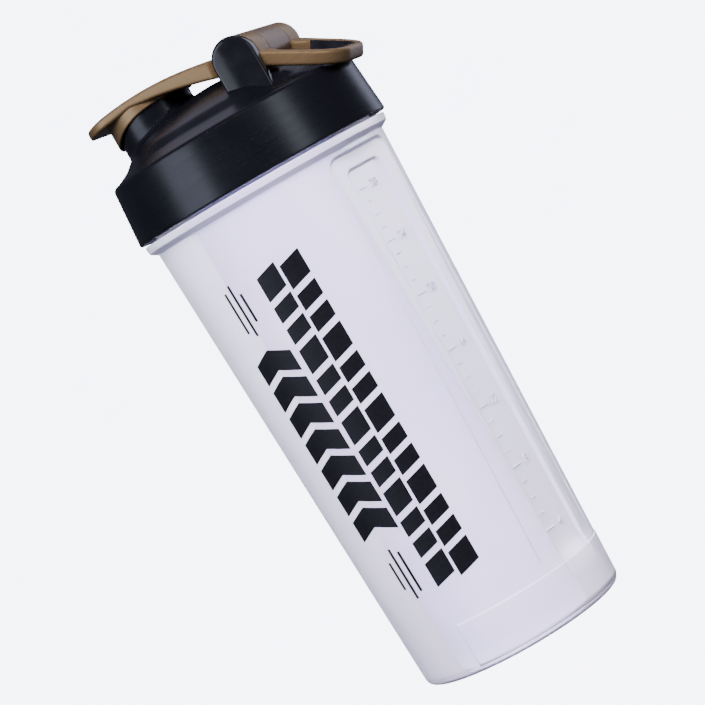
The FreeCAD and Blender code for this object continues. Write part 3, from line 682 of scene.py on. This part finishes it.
def make_lid_shell():
    """The lid as one closed ring of a surface: skirt, shoulder, dome, spout, bore, ceiling, lip, thread."""
    turns = np.linspace(0, 2 * math.pi, 256, endpoint=False)
    skirt = rounded_path([
        (SKIRT - 2, 0), (SKIRT, 0), (SKIRT_TOP, SKIRT_HIGH), (SHOULDER, SKIRT_HIGH - 0.02)],
        [0.7, 1.9], 0.6)
    side = revolved(skirt, turns)
    # Faint rings, as the mould's turning leaves them on the skirt.
    ripple = 0.008 * np.sin(side[..., 2] * 2 * math.pi / 3.6) * smooth(1.5, 3, side[..., 2])
    ripple = ripple * smooth(SKIRT_HIGH - 2.5, SKIRT_HIGH - 4, side[..., 2])
    side[..., :2] *= (1 + ripple / SKIRT)[..., None]
    x, y = between_rings(np.linspace(0, 1, 96)[1:], SHOULDER, SPOUT + SPOUT_FLARE, turns)
    top = np.stack([x, y, with_trough(x, y, lid_top(np.hypot(x, y)), TROUGH, EAR_INNER)], axis=-1)
    swing = np.linspace(0, math.pi / 2, 8)[1:, None]
    radius = SPOUT + SPOUT_FLARE * (1 - np.sin(swing))
    x, y = SPOUT_X + radius * np.cos(turns), radius * np.sin(turns)
    flare = np.stack([x, y, lid_top(np.hypot(x, y)) + SPOUT_FLARE * (1 - np.cos(swing))], axis=-1)
    share = np.linspace(0, 1, 8)[1:, None]
    tube = np.stack([
        x[-1:] + 0 * share, y[-1:] + 0 * share,
        flare[-1:, :, 2] * (1 - share) + (SPOUT_TOP - 0.9) * share], axis=-1)
    rim = rounded_path([(SPOUT, SPOUT_TOP - 0.85), (SPOUT, SPOUT_TOP), (SPOUT_BORE, SPOUT_TOP),
                        (SPOUT_BORE, SPOUT_TOP - 1)], [0.8, 0.8], 0.5)
    rim = revolved(rim, turns) + np.array([SPOUT_X, 0, 0])
    x, y = between_rings(np.linspace(1, 0, 56)[:-1], LIP_INNER - 0.6, SPOUT_BORE, turns)
    under = lid_top(np.hypot(x, y)) - LID_WALL
    under = with_trough(x, y, under, TROUGH + LID_WALL, EAR_INNER + LID_WALL)
    ceiling = np.stack([x, y, under], axis=-1)
    bore = np.stack([
        rim[-1:, :, 0] + 0 * share, rim[-1:, :, 1] + 0 * share,
        rim[-1:, :, 2] * (1 - share) + (ceiling[:1, :, 2] + 0.3) * share], axis=-1)
    inside = rounded_path([
        (LIP_INNER - 0.5, 25.6), (LIP_INNER, 25.0), (LIP_INNER, LIP_LOW), (LIP_OUTER, LIP_LOW),
        (LIP_OUTER, SEAL_SEAT), (THREAD_WALL, SEAL_SEAT), (THREAD_WALL, SEAL_SEAT - 1)],
        [0.4, 0.5, 0.5, 0.6, 0.8], 0.8)
    lip = revolved(inside, turns)
    heights = np.linspace(18.6, 0.6, 46)
    threaded = revolved(np.stack([np.full(46, THREAD_WALL), heights], axis=-1), turns)
    ridge = THREAD_PROUD * thread_height(heights[:, None], turns, 4.4)
    threaded[..., :2] *= (1 - ridge / THREAD_WALL)[..., None]
    grid = np.concatenate([side, top, flare, tube, rim, bore, ceiling, lip, threaded])
    grid[..., 2] += LID
    return surface("lid_shell", grid, closed_rows=True, flip=True)


def make_ear(name, radius, inner, outer):
    """A hinge ear: an upright tab with a round top, from inner to outer along Y, its edges rounded."""
    foot = LID + 24.0
    path = rounded_path([
        (HINGE_X - radius, foot), (HINGE_X - radius, HINGE_Z + radius),
        (HINGE_X + radius, HINGE_Z + radius), (HINGE_X + radius, foot)], [radius, radius], 0.6)
    back = np.linspace(HINGE_X + radius, HINGE_X - radius, 20)[1:-1]
    floor = np.stack([back, np.full(18, foot)], axis=-1)
    outline = np.concatenate([path, floor])
    middle = np.array([HINGE_X, HINGE_Z - 2.0])
    thick = outer - inner
    edge = 1.1
    swing = np.linspace(0, math.pi / 2, 6)
    shrink = edge * (1 - np.sin(swing)) / radius
    rise = edge * (1 - np.cos(swing))
    flat_edge = 1 - shrink[0] - 0.02
    scale = np.concatenate([[0, 0.5, flat_edge], 1 - shrink, 1 - shrink[::-1], [flat_edge, 0.5, 0]])
    depth = np.concatenate([[0, 0, 0], rise, abs(thick) - rise[::-1], [abs(thick)] * 3])
    flat = middle + (outline - middle)[None] * scale[:, None, None]
    away = inner + np.sign(thick) * depth
    grid = np.stack([flat[..., 0], away[:, None] + 0 * flat[..., 0], flat[..., 1]], axis=-1)
    return surface(name, grid, flip=thick > 0)


# ---------------------------------------------------------------- flip cap
ARM_HALF = 17.4
ARM_NARROW = 11.85
ARM_NARROWING = 9.0
CAP_RADIUS = 16.95
CAP_WALL = 1.1
TIP_ROUND = 12.4
KNUCKLE_SPLIT = 12.0
KNUCKLE_GAP = 0.3
KNUCKLE_BORE = 2.06
KNUCKLE_EDGE = 0.15
# The arm's side view: where its arcs end, as (x, height above the lid's foot), and their radii.
TOP_BACK = (10.6, 44.1)
TOP_FRONT = (CAP_TIP, 45.0)
TOP_ARC = 131.0
LOW_BACK = (10.3, 37.3)
LOW_FRONT = (-24.0, 44.45)
LOW_ARC = 165.0
TIP_LOW = 42.0
HINGE_TOP = 43.0
HINGE_LOW = 35.5
RIM_HIGH = 41.8
RIM_ARC = 46.0
RIM_START = -14.0
RIM_SLOPE = 0.06


def arc_height(x, start, end, radius):
    """Height at x of the arc of the given radius from start to end, bulging up."""
    start = np.array(start)
    end = np.array(end)
    chord = end - start
    half = np.linalg.norm(chord) / 2
    normal = np.array([-chord[1], chord[0]]) / (2 * half)
    if normal[1] < 0:
        normal = -normal
    centre = (start + end) / 2 - normal * math.sqrt(radius ** 2 - half ** 2)
    return centre[1] + np.sqrt(np.maximum(radius ** 2 - (x - centre[0]) ** 2, 0))


def arm_top(x):
    """Height above the lid's foot of the arm's top: one long arc that falls towards the hinge."""
    back = np.interp(x, [TOP_BACK[0], HINGE_X], [TOP_BACK[1], HINGE_TOP])
    return np.where(x > TOP_BACK[0], back, arc_height(x, TOP_BACK, TOP_FRONT, TOP_ARC))


def arm_low(x):
    """Height above the lid's foot of the arm's underside: rising from the tip, then an arc to the hinge."""
    arc = arc_height(x, LOW_BACK, LOW_FRONT, LOW_ARC)
    front = np.interp(x, [CAP_TIP, LOW_FRONT[0]], [TIP_LOW, LOW_FRONT[1]])
    back = np.interp(x, [LOW_BACK[0], HINGE_X], [LOW_BACK[1], HINGE_LOW])
    return np.where(x > LOW_BACK[0], back, np.where(x < LOW_FRONT[0], front, arc))


def rim_height(x):
    """Height above the lid's foot of the skirt's rim: deep at the front, level under the arm."""
    past = x - RIM_START
    front = RIM_HIGH - RIM_ARC + np.sqrt(RIM_ARC ** 2 - np.minimum(past, 0) ** 2)
    return np.where(past > 0, RIM_HIGH - RIM_SLOPE * past, front)


def arm_half(x):
    """Half the arm's width: wide over the spout, round at the tip, narrow between the loop's knuckles."""
    past = np.clip(CAP_TIP + TIP_ROUND - x, 0, TIP_ROUND)
    tip = ARM_HALF - TIP_ROUND + np.sqrt(TIP_ROUND ** 2 - past ** 2)
    return tip - (ARM_HALF - ARM_NARROW) * smooth(ARM_NARROWING, ARM_NARROWING + 3.2, x)


def make_arm():
    """The cap's arm: rounded rectangular sections lofted from the hinge to the tip, with a rounded nose."""
    nose = 1.3
    swing = np.linspace(0, math.pi / 2, 7)
    front = CAP_TIP + nose * (1 - np.cos(swing))
    places = np.concatenate([
        front, np.linspace(CAP_TIP + nose + 0.4, CAP_TIP + TIP_ROUND, 16),
        np.linspace(CAP_TIP + TIP_ROUND + 1.2, 8.6, 34), np.linspace(9, 12.6, 12),
        np.linspace(13.4, HINGE_X - 1, 8)])
    top = arm_top(places)
    low = arm_low(places)
    half = arm_half(places)
    shrink = np.concatenate([nose * (1 - np.sin(swing)), np.zeros(len(places) - 7)])
    high = (top - low) / 2 - np.minimum(shrink, (top - low) / 2 - 0.25)
    half = half - shrink
    edge = np.minimum(np.full(len(places), 1.15), high * 0.9)
    wide, tall = section_loop(half, high, edge)
    # Extra points across the flat top and underside let the top be crowned a little.
    wide, tall = widen(wide, tall)
    crown = 0.25 * (1 - (wide / half[:, None]) ** 2) * (tall > 0)
    middle = ((top + low) / 2)[:, None]
    grid = np.stack([places[:, None] + 0 * wide, wide, LID + middle + tall + crown - 0.25], axis=-1)
    ends = grid[[0, -1]].mean(axis=1, keepdims=True) + 0 * grid[[0, -1]]
    return surface("cap_arm", np.concatenate([ends[:1], grid, ends[1:]]), flip=True)


def widen(wide, tall, extra=9):
    """Put extra points along the two long sides of rounded rectangles made by section_loop."""
    steps = wide.shape[1] // 4
    share = np.linspace(0, 1, extra + 2)[1:-1]
    pieces_wide = []
    pieces_tall = []
    for quarter in range(4):
        part = slice(quarter * steps, (quarter + 1) * steps)
        pieces_wide.append(wide[:, part])
        pieces_tall.append(tall[:, part])
        if quarter % 2 == 0:
            last, after = (quarter + 1) * steps - 1, ((quarter + 1) * steps) % wide.shape[1]
            pieces_wide.append(wide[:, [last]] + (wide[:, [after]] - wide[:, [last]]) * share)
            pieces_tall.append(tall[:, [last]] + (tall[:, [after]] - tall[:, [last]]) * share)
    return np.concatenate(pieces_wide, axis=1), np.concatenate(pieces_tall, axis=1)


def make_cap_skirt():
    """The cap's skirt: a thin ring about the spout whose lower rim follows rim_height."""
    turns = np.linspace(0, 2 * math.pi, 160, endpoint=False)
    outer = CAP_RADIUS
    inner = CAP_RADIUS - CAP_WALL
    x = SPOUT_X + outer * np.cos(turns)
    rim = rim_height(x)
    roof = np.clip(arm_low(x) + 0.7, rim + 0.2, None)
    swing = np.linspace(0, math.pi, 9)[:, None]
    lip_radius = (outer + inner) / 2 + (outer - inner) / 2 * np.cos(swing)
    lip_drop = (outer - inner) / 2 * (1 - np.sin(swing))
    share = np.linspace(1, 0, 14)[:, None]
    down = rim + 0.6 + (roof - rim - 0.6) * share
    radius = np.concatenate([outer + 0 * down, lip_radius + 0 * turns, inner + 0 * down[::-1]])
    height = np.concatenate([down, rim + lip_drop, down[::-1]])
    grid = np.stack([SPOUT_X + radius * np.cos(turns), radius * np.sin(turns), LID + height], axis=-1)
    return surface("cap_skirt", grid, closed_rows=True)


# ---------------------------------------------------------------- carry loop
LOOP_SLOPE = math.radians(30)
LOOP_LENGTH = 35.6
LOOP_ROOT = 23.7
LOOP_END = 18.8
LOOP_ROUND = 15.0
LOOP_BAR = 4.4
LOOP_END_BAR = 3.2
LOOP_GAIN = 1.2
LOOP_THICK = 5.3
LOOP_EDGE = 1.3
LOOP_BEND = 10.0
GAP_BEND = 13.5
GAP_ROUND = 7.1


def on_loop(along, across, up):
    """A place on the loop: along its slope from the hinge axis, across it, and up from its middle plane."""
    x = HINGE_X + along * math.cos(LOOP_SLOPE) + up * math.sin(LOOP_SLOPE)
    z = HINGE_Z - along * math.sin(LOOP_SLOPE) + up * math.cos(LOOP_SLOPE)
    return np.stack([x, across, z], axis=-1)


def resample(path, count):
    """The same path with count points evenly spaced along it."""
    run = np.concatenate([[0], np.cumsum(np.linalg.norm(np.diff(path, axis=0), axis=1))])
    at = np.linspace(0, run[-1], count)
    return np.stack([np.interp(at, run, path[:, 0]), np.interp(at, run, path[:, 1])], axis=-1)


def make_loop_bar():
    """The carry loop's U: a rounded section stretched between its outer and its inner outline."""
    outer_half = rounded_path([
        (LOOP_BEND, -LOOP_ROOT), (LOOP_LENGTH, -LOOP_END), (LOOP_LENGTH, 0)], [LOOP_ROUND], 0.5)
    waist = LOOP_ROOT - LOOP_BAR - LOOP_GAIN
    reach = LOOP_LENGTH - LOOP_END_BAR
    inner_half = rounded_path([
        (GAP_BEND, -waist), (reach, LOOP_BAR - LOOP_END), (reach, 0)], [GAP_ROUND], 0.5)
    root_outer = np.array([(2.0, -LOOP_ROOT), (5.5, -LOOP_ROOT), (9.0, -LOOP_ROOT)])
    root_inner = np.array([(2.0, -KNUCKLE_SPLIT), (6.0, -KNUCKLE_SPLIT), (10.0, -KNUCKLE_SPLIT)])
    split = KNUCKLE_GAP / 2
    root_inner[:, 1] -= split
    outer_line = np.concatenate([root_outer, resample(outer_half, 62)])
    inner_line = np.concatenate([root_inner, resample(inner_half, 62)])
    mirror = np.array([1, -1])
    outer_line = np.concatenate([outer_line, (outer_line * mirror)[-2::-1]])
    inner_line = np.concatenate([inner_line, (inner_line * mirror)[-2::-1]])
    middle = (outer_line + inner_line) / 2
    half_wide = np.linalg.norm(outer_line - inner_line, axis=1) / 2
    toward = (outer_line - inner_line) / (2 * half_wide[:, None])
    half_high = LOOP_THICK / 2 + 0 * half_wide
    edge = np.minimum(LOOP_EDGE, half_wide * 0.8)
    wide, tall = section_loop(half_wide, half_high, edge)
    along = middle[:, :1] + toward[:, :1] * wide
    across = middle[:, 1:] + toward[:, 1:] * wide
    grid = on_loop(along, across, tall)
    ends = grid[[0, -1]].mean(axis=1, keepdims=True) + 0 * grid[[0, -1]]
    return surface("loop_bar", np.concatenate([ends[:1], grid, ends[1:]]))


# ---------------------------------------------------------------- settings
def lamp(name, description, watts):
    """A setting for one lamp's power."""
    return bpy.props.FloatProperty(
        name=name, description=description, default=watts, min=0.0, unit="POWER")


class ShakerSettings(bpy.types.PropertyGroup):
    """Finish of the bottle and the stage, as a user would change it."""

    frost: bpy.props.FloatProperty(
        name="Frosting", description="Roughness of the cup's moulded surface", default=0.5,
        min=0.1, max=0.9, subtype="FACTOR")
    print_shown: bpy.props.BoolProperty(
        name="Print", description="Print the bars on the cup", default=True)
    floor_size: bpy.props.FloatProperty(
        name="Floor Size", description="Width of the floor and its sweep", default=9.0, min=2.0,
        unit="LENGTH")
    floor_glow: bpy.props.FloatProperty(
        name="Floor Glow", description="How brightly the board glows", default=8.4, min=0.0)
    room_light: bpy.props.FloatProperty(
        name="Room Light", description="Even light from all round", default=0.08, min=0.0)
    key_power: lamp("Key Light", "Power of the large light on the left", 7.6)
    fill_power: lamp("Fill Light", "Power of the large light on the right", 3.6)
    top_power: lamp("Top Light", "Power of the high front light", 108.0)
    rim_power: lamp("Rim Light", "Power of the light behind on the right", 2.6)
    back_power: lamp("Back Light", "Power of the light above and behind", 2.0)
    rear_power: lamp("Rear Light", "Power of the plain light behind the bottle", 45.0)
    card_power: lamp("Card", "Power of the small card mirrored in the hinge ear", 0.25)


# ---------------------------------------------------------------- operators
class SHAKER_OT_cup(bpy.types.Operator):
    """Make the frosted cup with its sight window, foot band, flange and threaded neck"""

    bl_idname = "shaker.cup"
    bl_label = "Cup"

    def execute(self, context):
        rough = context.scene.shaker.frost
        place(make_cup_shell(), "cup", "frosted_cup", frosted_polypropylene(rough=rough), "cup")
        return {"FINISHED"}


class SHAKER_OT_marks(bpy.types.Operator):
    """Make the printed bars and the raised measuring scale on the cup"""

    bl_idname = "shaker.marks"
    bl_label = "Print and Scale"

    def execute(self, context):
        if context.scene.shaker.print_shown:
            place(make_print(), "cup", "frosted_cup", printing_ink())
        place(make_scale(), "cup", "frosted_cup", raised_polypropylene())
        return {"FINISHED"}


class SHAKER_OT_lid(bpy.types.Operator):
    """Make the black lid with its spout, its thread and its two hinge ears"""

    bl_idname = "shaker.lid"
    bl_label = "Lid"

    def execute(self, context):
        black = black_polypropylene()
        place(make_lid_shell(), "lid", "black_lid", black, "lid")
        gloss = black_polished()
        near = make_ear("near_ear", NEAR_EAR, -EAR_INNER, -EAR_INNER - NEAR_EAR_THICK)
        place(near, "lid", "black_lid", gloss)
        far = make_ear("far_ear", FAR_EAR, EAR_INNER, EAR_INNER + FAR_EAR_THICK)
        place(far, "lid", "black_lid", gloss)
        return {"FINISHED"}


class SHAKER_OT_cap(bpy.types.Operator):
    """Make the bronze flip cap: its arm, its skirt and the middle knuckle of the hinge"""

    bl_idname = "shaker.cap"
    bl_label = "Flip Cap"

    def execute(self, context):
        bronze = bronze_paint()
        place(make_arm(), "cap", "bronze_plastic", bronze, "flip_cap")
        place(make_cap_skirt(), "cap", "bronze_plastic", bronze)
        half = KNUCKLE_SPLIT - KNUCKLE_GAP / 2
        place(drum("cap_knuckle", -half, half), "cap", "bronze_plastic", bronze_smooth())
        return {"FINISHED"}


class SHAKER_OT_loop(bpy.types.Operator):
    """Make the bronze carry loop with its two knuckles"""

    bl_idname = "shaker.loop"
    bl_label = "Carry Loop"

    def execute(self, context):
        bronze = bpy.data.materials["sprayed_bronze_on_abs"]
        place(make_loop_bar(), "loop", "bronze_plastic", bronze, "carry_loop")
        near = KNUCKLE_SPLIT + KNUCKLE_GAP / 2
        place(drum("near_loop_knuckle", -LOOP_ROOT, -near), "loop", "bronze_plastic", bronze)
        place(drum("far_loop_knuckle", near, LOOP_ROOT), "loop", "bronze_plastic", bronze)
        return {"FINISHED"}


class SHAKER_OT_inner_parts(bpy.types.Operator):
    """Give the seals, the hinge pin, the loop's liner and the mixing grid their materials"""

    bl_idname = "shaker.inner_parts"
    bl_label = "Inner Parts"

    def execute(self, context):
        rubber = silicone()
        finishes = {
            "lid_seal": rubber,
            "spout_seal": rubber,
            "hinge_pin": pin_steel(),
            "loop_liner": black_liner(),
            "mixing_grid": grid_polypropylene(),
        }
        for node, material in finishes.items():
            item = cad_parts[node]
            if not item.material_slots:
                item.data.materials.append(material)
            for slot in item.material_slots:
                slot.material = material
        return {"FINISHED"}


CAMERA_TURN = math.radians(20)
CAMERA_YAW = math.radians(-0.21)
CAMERA_PITCH = math.radians(-2.67)
CAMERA_ROLL = math.radians(-29.95)
CAMERA_AWAY = 0.930
CAMERA_HIGH = 0.1602
CAMERA_LENS = 133.4
MIDDLE = (0, 0, 0.13)
EAR_FACE = (0.02, -0.03, 0.225)
# Each lamp's name, place, aim, size, colour, and whether it leaves a highlight. The card's right-hand
# edge is mirrored down the middle of the near ear.
LAMPS = (
    ("key", (-0.86, -1.1, 0.5), MIDDLE, (0.8, 1.1), "DCE6FF", True),
    ("fill", (1.24, -0.66, 0.5), MIDDLE, (0.4, 1.0), "E6EEFF", True),
    ("top", (0.4, -1.1, 1.1), MIDDLE, (1.2, 0.8), "FFF6FD", False),
    ("rim", (0.45, 1.3, 0.4), MIDDLE, (0.5, 1.2), "DCE2FF", True),
    ("back", (-0.1, 0.8, 1.25), MIDDLE, (1.2, 0.8), "E6E2FF", True),
    ("rear", (-0.5, 1.3, 0.7), MIDDLE, (1.2, 0.9), "F6F4FF", False),
    ("card", (-0.409, -1.0, 0.31), EAR_FACE, (0.16, 0.24), "E6EEFF", True),
)


def make_camera():
    """The camera, nearly level, 20 degrees round the bottle from its front and rolled 30 degrees."""
    right = Vector((math.cos(CAMERA_TURN), math.sin(CAMERA_TURN), 0))
    ahead = Vector((-math.sin(CAMERA_TURN), math.cos(CAMERA_TURN), 0))
    up = Vector((0, 0, 1))
    look = (right * math.sin(CAMERA_YAW) + ahead * math.cos(CAMERA_YAW)) * math.cos(CAMERA_PITCH)
    look += up * math.sin(CAMERA_PITCH)
    level = right * math.cos(CAMERA_YAW) - ahead * math.sin(CAMERA_YAW)
    above = level.cross(look)
    side = level * math.cos(CAMERA_ROLL) + above * math.sin(CAMERA_ROLL)
    above = above * math.cos(CAMERA_ROLL) - level * math.sin(CAMERA_ROLL)
    data = bpy.data.cameras.new("camera")
    data.lens = CAMERA_LENS
    data.sensor_width = 36
    data.clip_end = 50
    camera = add_object("camera", data)
    turned = Matrix((side, above, -look)).transposed().to_4x4()
    camera.matrix_world = Matrix.Translation(-ahead * CAMERA_AWAY + up * CAMERA_HIGH) @ turned
    bpy.context.scene.camera = camera


def add_light(name, place_at, aim, size, power, colour, shines):
    """A rectangular light at place_at, turned towards aim. One that doesn't shine leaves no highlights."""
    data = bpy.data.lights.new(name, "AREA")
    data.shape = "RECTANGLE"
    data.size, data.size_y = size
    data.energy = power
    data.color = linear(colour)[:3]
    light = add_object(name, data)
    light.location = place_at
    light.rotation_euler = (Vector(place_at) - Vector(aim)).to_track_quat("Z", "Y").to_euler()
    light.visible_glossy = shines


class SHAKER_OT_stage(bpy.types.Operator):
    """Make the pale floor and its sweep, the soft lights and the camera"""

    bl_idname = "shaker.stage"
    bl_label = "Stage"

    def execute(self, context):
        settings = context.scene.shaker
        # Translucent board lit from behind: it glows evenly, and takes little of the light in front of it.
        material, tree, shader = new_material(
            "back_lit_acrylic_board", Roughness=0.9, Specular_IOR_Level=0.1,
            Emission_Strength=settings.floor_glow)
        shade = speckle(tree, 180)
        tint(tree, shader, shade, "2C2C30", "333338")
        tint(tree, shader, shade, "E6E9FC", "ECEEFE", socket="Emission Color")
        reach = settings.floor_size / 2 / MM
        # A round floor that curves up all about into a low wall, so no edge shows behind the bottle.
        path = rounded_path([(0, 0), (reach, 0), (reach, reach * 0.9)], [reach * 0.4], reach / 24)
        floor = surface("floor", revolved(path, np.linspace(0, 2 * math.pi, 96, endpoint=False)), flip=True)
        floor.data.materials.append(material)
        # The board shows, also through the cup, but leaves the light on the bottle to the lamps.
        floor.visible_diffuse = False
        floor.visible_glossy = False
        floor.visible_shadow = False
        world = bpy.data.worlds.new("soft_room")
        world.use_nodes = True
        world.node_tree.nodes["Background"].inputs["Color"].default_value = linear("D5DAFF")
        world.node_tree.nodes["Background"].inputs["Strength"].default_value = settings.room_light
        context.scene.world = world
        for name, place_at, aim, size, colour, shines in LAMPS:
            add_light(name, place_at, aim, size, getattr(settings, name + "_power"), colour, shines)
        make_camera()
        return {"FINISHED"}


OPERATORS = (
    SHAKER_OT_cup, SHAKER_OT_marks, SHAKER_OT_lid, SHAKER_OT_cap, SHAKER_OT_loop,
    SHAKER_OT_inner_parts, SHAKER_OT_stage,
)


class SHAKER_PT_panel(bpy.types.Panel):
    """Lists the settings and the operators in the sidebar"""

    bl_idname = "SHAKER_PT_panel"
    bl_label = "Shaker Bottle"
    bl_space_type = "VIEW_3D"
    bl_region_type = "UI"
    bl_category = "Shaker"

    def draw(self, context):
        settings = context.scene.shaker
        for name in ShakerSettings.__annotations__:
            self.layout.prop(settings, name)
        for operator in OPERATORS:
            self.layout.operator(operator.bl_idname)


def register():
    for kind in (ShakerSettings, *OPERATORS, SHAKER_PT_panel):
        bpy.utils.register_class(kind)
    bpy.types.Scene.shaker = bpy.props.PointerProperty(type=ShakerSettings)


def unregister():
    del bpy.types.Scene.shaker
    for kind in reversed((ShakerSettings, *OPERATORS, SHAKER_PT_panel)):
        bpy.utils.unregister_class(kind)


def main():
    """Register the add-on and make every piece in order."""
    register()
    for operator in OPERATORS:
        group, name = operator.bl_idname.split(".")
        getattr(getattr(bpy.ops, group), name)()


if __name__ == "__main__":
    main()
